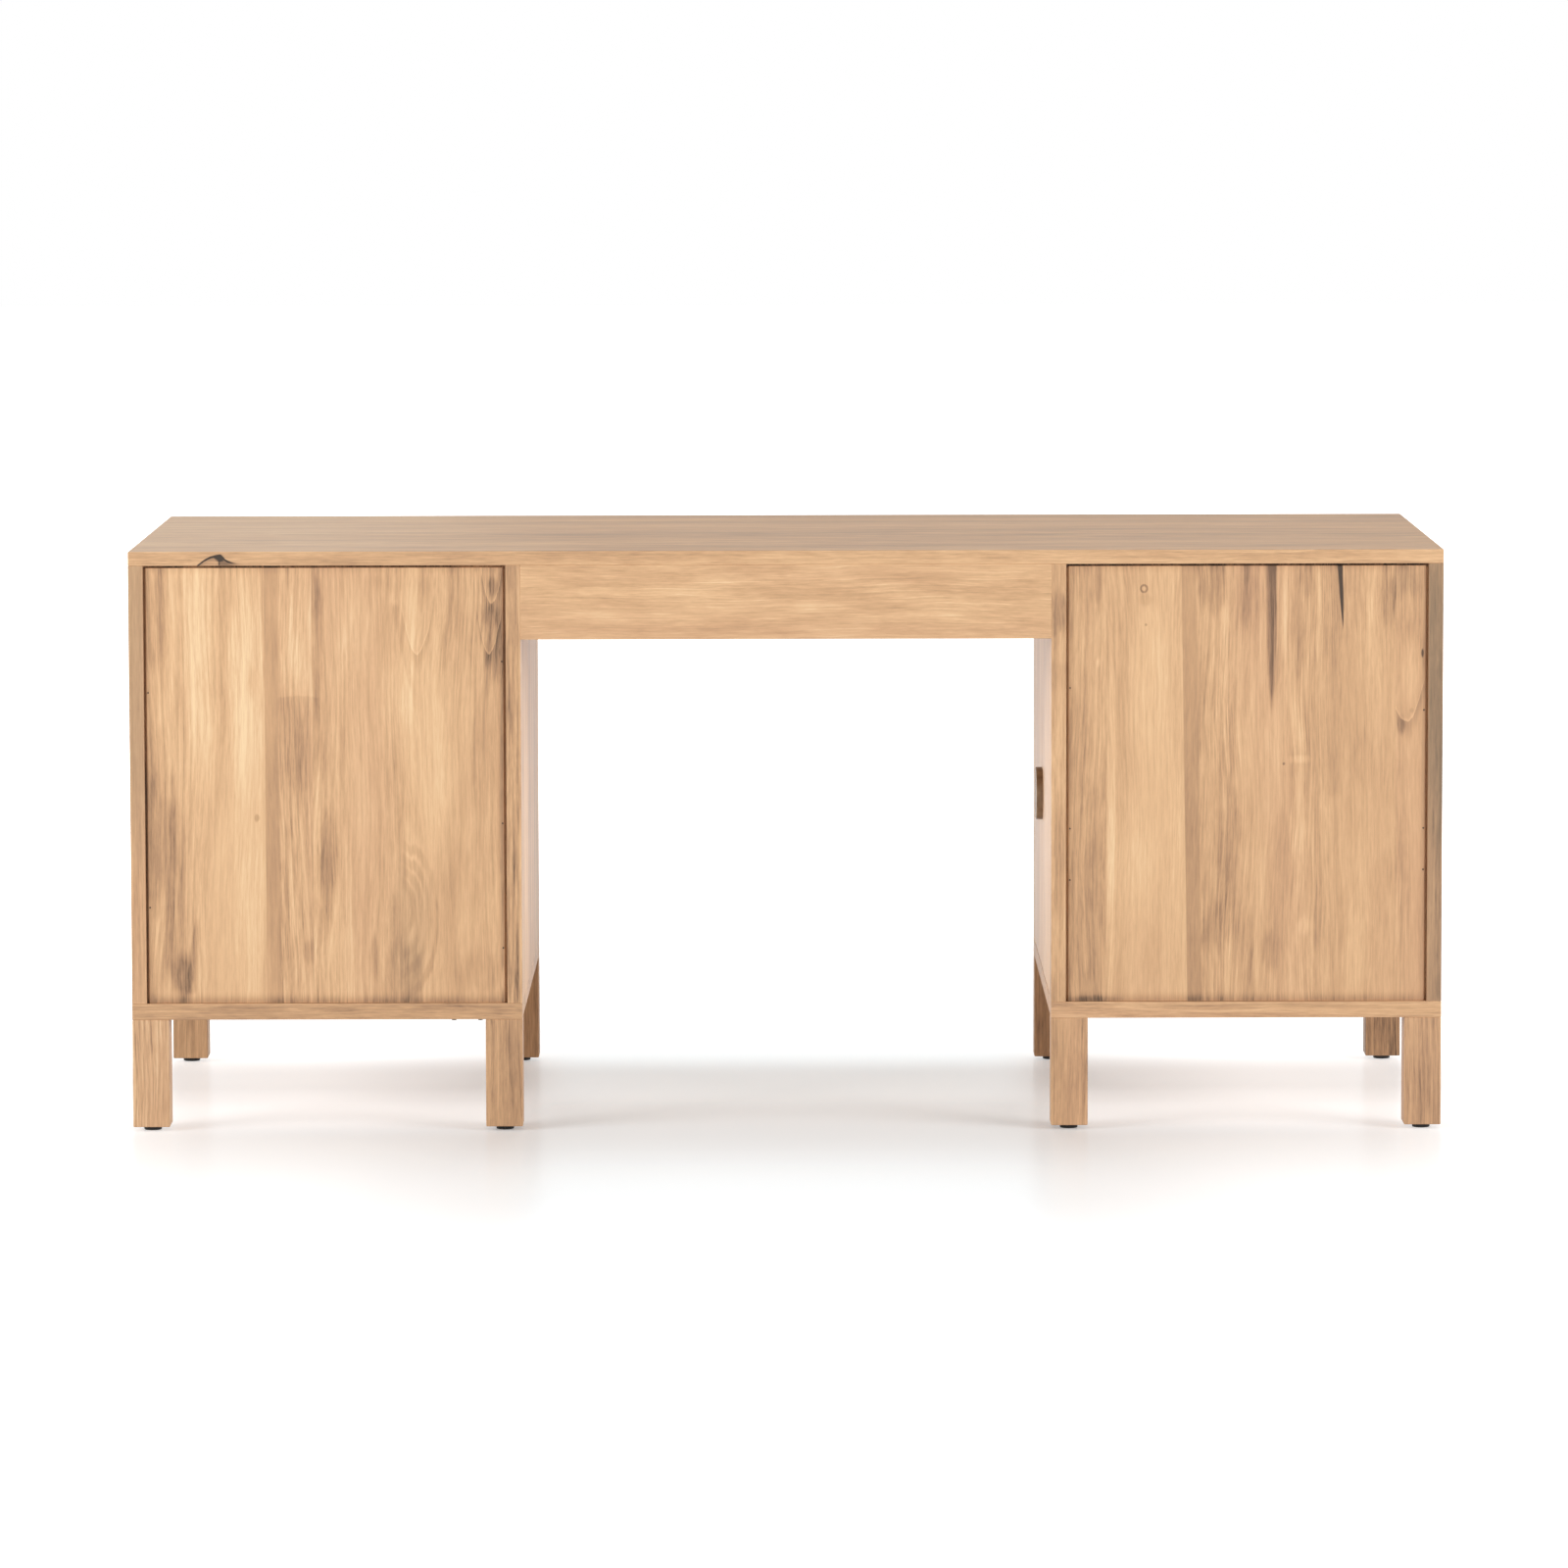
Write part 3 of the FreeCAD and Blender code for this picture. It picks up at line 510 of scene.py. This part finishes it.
cabinet_panel_stains = {
    "tan strip, foot": (-0.405, 0.300, 0.026, 0.160, -0.03),
    "dark line in it": (-0.4221, 0.735, 0.005, 0.045, -0.14),
    "pale rub": (-0.4225, 0.637, 0.004, 0.010, 0.16),
    "pale stripe": (-0.4410, 0.440, 0.007, 0.290, 0.18),
    "sapwood": (-0.488, 0.600, 0.036, 0.150, 0.12),
    "sapwood, low glow": (-0.480, 0.380, 0.032, 0.140, 0.08),
    "shade under the ring knot": (-0.4870, 0.722, 0.012, 0.010, -0.10),
    "pin hole": (-0.4871, 0.688, 0.0018, 0.0020, -0.30),
    "smoky top": (-0.580, 0.738, 0.024, 0.048, -0.16),
    "smoky top, beside": (-0.616, 0.726, 0.026, 0.056, -0.17),
    "light line before the mineral streak": (-0.6450, 0.690, 0.005, 0.120, 0.14),
    "light line after it": (-0.6740, 0.700, 0.005, 0.080, 0.18),
    "light line under it": (-0.6660, 0.510, 0.009, 0.080, 0.10),
    "dark band": (-0.6920, 0.700, 0.010, 0.100, -0.18),
    "smoky patch": (-0.7050, 0.745, 0.012, 0.030, -0.14),
    "pin hole, middle": (-0.6743, 0.4988, 0.0022, 0.0025, -0.40),
    "pale nick": (-0.6950, 0.5050, 0.016, 0.007, 0.14),
    "light strip": (-0.7900, 0.690, 0.008, 0.090, 0.08),
    "plain heart": (-0.790, 0.420, 0.040, 0.180, -0.06),
    "smoke by the seam": (-0.8140, 0.735, 0.010, 0.055, -0.15),
    "grey crown": (-0.8400, 0.748, 0.024, 0.034, -0.14),
    "pale tongue": (-0.8460, 0.625, 0.015, 0.055, 0.12),
    "resin speck": (-0.8611, 0.6490, 0.0020, 0.0070, -0.46),
    "middle cloud": (-0.6700, 0.4020, 0.016, 0.034, -0.07),
    "dark edge below": (-0.6080, 0.350, 0.016, 0.110, -0.08),
    "light stripe below": (-0.6400, 0.330, 0.011, 0.100, 0.07),
    "foot cloud": (-0.6566, 0.2440, 0.014, 0.030, -0.14),
    "foot cloud, left": (-0.5850, 0.2750, 0.018, 0.034, -0.12),
    "foot glow": (-0.7020, 0.2780, 0.012, 0.016, 0.12),
    # Painted shade in the corner at the panel's foot.
    "painted shade in the foot corner": (-0.4150, 0.1770, 0.040, 0.007, -0.10),
}
tone = tone + board.marks(cabinet_panel_stains)
tone = tone - 0.13 * flat_band
tone = tone - 0.42 * board.taper((-0.6575, 0.775), (-0.6574, 0.556), 0.0072, 0.0010)
tone = tone - 0.58 * board.taper((-0.7490, 0.775), (-0.7540, 0.680), 0.0036, 0.0006)
tone = tone - 0.32 * board.loop(-0.4842, 0.7370, 0.0042, 0.0045, 0.5)
last_plank = board.across.rise(LAST_SEAM + 0.0003, LAST_SEAM - 0.0003)
branch = 0.17 * board.tongue(-0.8393, 0.5537, 100.0) - 0.16 * board.spot(-0.8325, 0.551, 0.0060, 0.014)
tone = tone + last_plank * branch
tone = tone - 0.12 * board.spot(-0.8473, 0.571, 0.0035, 0.004)
# Painted shade: darker along the panel's edges where it sits back in its recess, and along its foot by the
# bottom board.
painted_corner_shade = board.rim(-PANEL_MIDDLE, PANEL_HALF_WIDTH, PANEL_MIDDLE_HEIGHT, PANEL_HALF_HEIGHT, PANEL_SHADE)
tone = tone - 0.1 * painted_corner_shade
tone = tone - 0.12 * board.along.rise(0.192, 0.177)
# Painted light and shade in the shadow-gap groove: its floor is lightened, and darkened along the top.
groove = board.through.rise(BACK_FACE - 0.0015, BACK_FACE - 0.0035)
tone = tone + groove * (0.38 - 0.68 * board.along.rise(0.764, 0.767))
board.seal(tone, 0.14 * board.spot(-0.840, 0.750, 0.022, 0.03))
panel_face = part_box("cabinet_back_panel")[1].y
brads = [(-INNER_BRADS, panel_face, height) for height in (0.6025, 0.411, 0.341)]
brads += [(-OUTER_BRADS, panel_face, height) for height in (0.5716, 0.411, 0.3545)]
fastener_heads("cabinet_panel_brads", *brad, brads, (0, 1, 0), "carcass", brad_steel)

board = Poplar("cabinet_outer_side", "Z", "X", 7)
back_edge = board.across.rise(BACK_FACE, BACK_FACE + 0.004)
tone = board.figure(0.58, wander=0.03, bands=0.5) - 0.18 * back_edge
tone = tone - 0.14 * back_edge * board.spot(0.38, 0.58, 0.2, 0.28)
weathered = back_edge * (0.34 + 0.2 * board.spot(0.38, 0.6, 0.2, 0.25))
board.seal(tone, weathered)

for cut, name in enumerate(("cabinet_back_stile", "cabinet_front_stile"), 8):
    board = Poplar(name, "Z", "X", cut)
    # Painted sheen: the face towards the knee-hole is a little lighter.
    painted_sheen_knee_face = board.through.rise(-KNEE_SIDE - 0.004, -KNEE_SIDE - 0.0005)
    tone = board.figure(0.50, wander=0.03, bands=0.6, rosy=0.0) + 0.06 * painted_sheen_knee_face
    tone = tone - 0.16 * board.spot(0.38, 0.705, 0.1, 0.030) - 0.08 * board.spot(0.38, 0.620, 0.1, 0.025)
    board.seal(tone, gloss=0.47)
for cut, (name, grain, through) in enumerate((
    ("cabinet_top_rail", "Y", "X"),
    ("cabinet_bottom_board", "X", "Z"),
    ("cabinet_front_rail", "X", "Y"),
    ("cabinet_shelf", "Y", "Z"),
), 10):
    board = Poplar(name, grain, through, cut)
    board.seal(board.figure(0.53, bands=0.5))
board = Poplar("cabinet_front_panel", "Z", "Y", 14)
planks = [(-0.74, 0.0, 0.04, 0.5), (-0.61, 0.0, -0.06, 0.9), (-0.5, 0.0, 0.03, 0.7)]
tone = board.figure(0.6, planks, bands=0.6, pith=(-0.66, -0.6))
# Painted shade: darker along the front panel's edges, where it sits back in its frame.
board.seal(tone - 0.4 * board.rim(-PANEL_MIDDLE, 0.245, 0.4225, 0.2475))


# Back apron: one plain-sawn rail of the same poplar between the pedestals, flush with their back edges and
# glued to them and to the desktop. Pale flame figure runs along it where its growth rings reach the face.
board = Poplar("back_apron", "X", "Y", 15)
tone = board.figure(0.645, wander=0.035, bands=0.24, lines=0.2, rings=0.05, pith=(0.60, 0.36))
flame_line = board.growth.rise(0.84, 0.92) * board.growth.rise(1.0, 0.97)
tone = tone + 0.17 * flame_line * board.blotch.rise(-0.08, 0.16)
apron_marks = {
    "small knot": (0.757, 0.0045, 0.004, 0.010, -0.08),
    "flame, left": (0.700, 0.270, 0.010, 0.080, 0.05),
    "flame, middle": (0.714, -0.030, 0.010, 0.030, 0.09),
    "darker right part": (0.735, -0.220, 0.030, 0.120, -0.05),
}
board.seal(tone + board.marks(apron_marks))


# Legs: square posts sawn from thicker poplar, held by steel bolts through the bottom boards. Each stands on
# a round glide of black plastic. Each leg has its own tone and wash, partly as planks differ and partly as
# painted shade, darker where a leg stands in the shade under the desk.
# Tone and grey wash of each leg; the tones hold painted shade as well as the planks' own differences.
legs_with_painted_shade = {
    "drawer_leg_back_outer": (0.68, 0.08),
    "drawer_leg_back_inner": (0.43, 0.0),
    "cabinet_leg_back_inner": (0.47, 0.0),
    "cabinet_leg_back_outer": (0.45, 0.04),
    "drawer_leg_front_outer": (0.57, 0.08),
    "drawer_leg_front_inner": (0.50, 0.0),
    "cabinet_leg_front_inner": (0.46, 0.0),
    "cabinet_leg_front_outer": (0.32, 0.0),
}
for cut, (name, (leg_tone_and_shade, leg_wash)) in enumerate(legs_with_painted_shade.items(), 56):
    board = Poplar(name, "Z", "Y", cut)
    board.seal(board.figure(leg_tone_and_shade, wander=0.03, bands=0.35, lines=0.9), leg_wash)

black_plastic = cast_finish("glide_plastic", paint(22, 21, 20), paint(38, 36, 34), 0.55, 0.0, 60.0, 0.15)
zinc = cast_finish("zinc_plate", paint(140, 142, 145), paint(162, 163, 161), 0.42, 0.85, 26.0, 0.02)
dress(black_plastic, "leg_glides")
dress(zinc, "leg_bolts")


# Doors: two solid poplar slabs that meet in the middle of the knee-hole face, on steel pins that turn in
# brass bushes, with a magnetic catch above. Each has one half of a round cast pull in dark bronze lacquer,
# screwed on from inside, so that the two read as a disc.
for cut, (name, planks) in enumerate({
    "back_door": [(0.11, 0.0, 0.04, 0.6), (0.22, 0.0, -0.05, 0.9)],
    "front_door": [(-0.21, 0.0, -0.04, 0.6), (-0.1, 0.0, 0.05, 0.9)],
}.items(), 24):
    board = Poplar(name, "Z", "X", cut)
    board.seal(board.figure(0.64, planks, bands=0.4, pith=(0.1, -0.8), rosy=0.0), gloss=0.47)
bronze = cast_finish("bronze_lacquer", paint(134, 110, 86), paint(166, 140, 112), 0.46, 0.4, 70.0, 0.12)
brass = cast_finish("turned_brass", paint(186, 148, 82), paint(214, 178, 108), 0.3, 1.0, 120.0, 0.05)
dress(bronze, *[name for name in nodes if name.endswith("_pull")])
PULL_SCREW_SPACING = 0.032
for door in ("back_door", "front_door"):
    low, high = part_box(door + "_pull")
    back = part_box(door)[0].x
    middle = (low + high) / 2
    heights = (middle.z - PULL_SCREW_SPACING / 2, middle.z + PULL_SCREW_SPACING / 2)
    screws = [(back, middle.y, height) for height in heights]
    fastener_heads(door + "_pull_screws", *screw, screws, (-1, 0, 0), door, zinc)
dress(brass, "door_pivot_bushes")
dress(zinc, "back_door_pivot_pins", "front_door_pivot_pins", "door_catch", "shelf_pins", "top_brackets")


# Drawers: solid poplar fronts with the grain along the desk, on boxes of pale sealed hardwood that run on
# two-part steel slides. Each front has a half-moon pull like the doors', screwed on from inside.
PALE_WOOD = [
    (0.00, paint(120, 92, 64)),
    (0.35, paint(205, 172, 130)),
    (0.55, paint(226, 197, 155)),
    (0.80, paint(240, 216, 176)),
    (1.00, paint(250, 232, 198)),
]
for cut, drawer in enumerate(("centre_drawer", "top_drawer", "middle_drawer", "bottom_drawer"), 26):
    board = Poplar(drawer + "_front", "X", "Y", cut)
    board.seal(board.figure(0.58, bands=0.6, pith=(0.45, -0.55)))
    for part, grain, through in (("_sides", "Y", "X"), ("_back", "X", "Y"), ("_bottom", "X", "Z")):
        board = Poplar(drawer + part, grain, through, cut + 10)
        tone = board.figure(0.6, bands=0.35, lines=0.45)
        board.seal(tone, ramp=PALE_WOOD, gloss=0.4)
    dress(zinc, drawer + "_slide_members")
    low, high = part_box(drawer + "_pull")
    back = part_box(drawer + "_front")[1].y
    middle = (low + high) / 2
    sides = (middle.x - PULL_SCREW_SPACING / 2, middle.x + PULL_SCREW_SPACING / 2)
    screws = [(side, back, middle.z) for side in sides]
    fastener_heads(drawer + "_pull_screws", *screw, screws, (0, 1, 0), drawer, zinc)
dress(zinc, "carcass_slide_members")


# Floor and light: a seamless white sweep, a little glossy, lit by two softboxes beside the camera and a
# weaker one on the far side. Only what sees the floor directly gets its white, so the light on the desk
# stays plain. The floor's white is set by place, with painted light and painted shade under and around
# the desk that stand in for part of its shadow.
FLOOR_HALF = 30.0
FLOOR_GREY = (0.8, 0.8, 0.8, 1.0)
FLOOR_SHEEN = 0.12
WHITE = (1.0, 1.0, 1.0, 1.0)
COOL_WHITE = (1.0, 1.09, 1.13, 1.0)
floor_mesh = bpy.data.meshes.new("floor")
shape = bmesh.new()
bmesh.ops.create_grid(shape, x_segments=1, y_segments=1, size=FLOOR_HALF)
shape.to_mesh(floor_mesh)
shape.free()
floor = bpy.data.objects.new("floor", floor_mesh)
bpy.context.scene.collection.objects.link(floor)


def seen_directly(tree):
    """1 for the camera's own rays and for those that mirrors and glass send on."""
    ray = Shade(tree).node("ShaderNodeLightPath", out="Is Camera Ray")
    seen = ray.maths("MAXIMUM", ray, ray.output("Is Glossy Ray"))
    return seen.maths("MAXIMUM", seen, ray.output("Is Transmission Ray"))


floor_paint = bpy.data.materials.new("floor_paint")
floor_paint.use_nodes = True
floor_paint.node_tree.nodes.clear()
seen = seen_directly(floor_paint.node_tree)
place = seen.node("ShaderNodeTexCoord", out="Object")
split = place.node("ShaderNodeSeparateXYZ", None, {"Vector": place})
aside = abs(split.output("X"))
behind = split.output("Y")
away = place.node("ShaderNodeVectorMath", {"operation": "LENGTH"}, {0: place}, out="Value")
# Painted light and shade: the floor's glow changes with place, whiter to the sides, far off and on the
# sitting side.
glow = 0.33 + 0.15 * aside.rise(0.3, 0.7) + 0.64 * away.rise(0.9, 2.4)
glow = glow + 0.24 * behind.rise(-0.18, -0.45) + 0.3 * aside.rise(0.8, 1.2)
# Painted shade on the floor on the camera's side of the desk.
painted_shade_before_desk = behind.rise(0.0, 0.28) * behind.rise(0.95, 0.4) * aside.rise(1.2, 0.6)
glow = glow - 0.17 * painted_shade_before_desk
# Painted light under the pedestals' near halves, painted shade under their far halves.
painted_light_and_shade_under_pedestal = aside.rise(0.30, 0.42) * aside.rise(1.0, 0.85)
glow = glow + 0.19 * painted_light_and_shade_under_pedestal * behind.rise(0.02, 0.20) * behind.rise(0.46, 0.24)
glow = glow - 0.10 * painted_light_and_shade_under_pedestal * behind.rise(-0.42, -0.30) * behind.rise(0.06, -0.08)
# The floor's glow is tinted cool in the knee-hole.
in_knee_hole = aside.rise(0.42, 0.28)
tints = {"Factor": in_knee_hole, 6: WHITE, 7: COOL_WHITE}
tint = seen.node("ShaderNodeMix", {"data_type": "RGBA"}, tints, out=2)
matt = seen.node("ShaderNodeBsdfDiffuse", None, {"Color": FLOOR_GREY})
sheen = seen.node("ShaderNodeBsdfGlossy", None, {"Color": WHITE, "Roughness": 0.2})
surface = seen.node("ShaderNodeMixShader", None, {0: FLOOR_SHEEN, 1: matt, 2: sheen})
light = seen.node("ShaderNodeEmission", None, {"Color": tint, "Strength": glow * seen})
surface = seen.node("ShaderNodeAddShader", None, {0: surface, 1: light})
seen.node("ShaderNodeOutputMaterial", None, {"Surface": surface})
floor_mesh.materials.append(floor_paint)

AMBIENT = 0.35
world = bpy.data.worlds.new("studio")
world.use_nodes = True
world.node_tree.nodes.clear()
bpy.context.scene.world = world
seen = seen_directly(world.node_tree)
sky = seen.node("ShaderNodeBackground", None, {"Color": WHITE, "Strength": AMBIENT + (1 - AMBIENT) * seen})
seen.node("ShaderNodeOutputWorld", None, {"Surface": sky})

DESK_MIDDLE = Vector((0.0, 0.0, 0.4))


def softbox(name, place, width, height, watts):
    """A softbox turned towards the middle of the desk, which shows in no picture itself."""
    lamp = bpy.data.lights.new(name, "AREA")
    lamp.shape = "RECTANGLE"
    lamp.size = width
    lamp.size_y = height
    lamp.energy = watts
    stand = bpy.data.objects.new(name, lamp)
    bpy.context.scene.collection.objects.link(stand)
    stand.location = place
    stand.rotation_euler = (DESK_MIDDLE - Vector(place)).to_track_quat("-Z", "Y").to_euler()
    stand.visible_camera = False
    stand.visible_glossy = False


KEY_WATTS = 178.0
FILL_WATTS = 120.0
softbox("softbox_drawer_side", (4.9, 3.2, 1.9), 3.0, 2.2, KEY_WATTS)
softbox("softbox_cabinet_side", (-4.9, 3.2, 1.9), 3.0, 2.2, KEY_WATTS)
softbox("softbox_sitting_side", (0.0, -6.0, 2.2), 3.0, 2.0, FILL_WATTS)


# Camera: a long lens eleven metres behind the desk, about twice the desk's height above the floor and tipped
# down a little, as the photograph was taken. A small roll lifts one end of the desktop in the picture.
LENS = 181.6
STAND = (0.003, 11.0475, 1.513)
TIP_DOWN = 5.57
ROLL = -0.126
camera_data = bpy.data.cameras.new("camera")
camera = bpy.data.objects.new("camera", camera_data)
bpy.context.scene.collection.objects.link(camera)
bpy.context.scene.camera = camera
camera_data.sensor_width = 36.0
camera_data.lens = LENS
camera_data.clip_end = 200.0
facing = Matrix.Rotation(math.pi, 4, "Z") @ Matrix.Rotation(math.radians(90 - TIP_DOWN), 4, "X")
roll = Matrix.Rotation(math.radians(ROLL), 4, "Z")
camera.matrix_world = Matrix.Translation(STAND) @ facing @ roll
bpy.context.scene.view_settings.view_transform = "Standard"
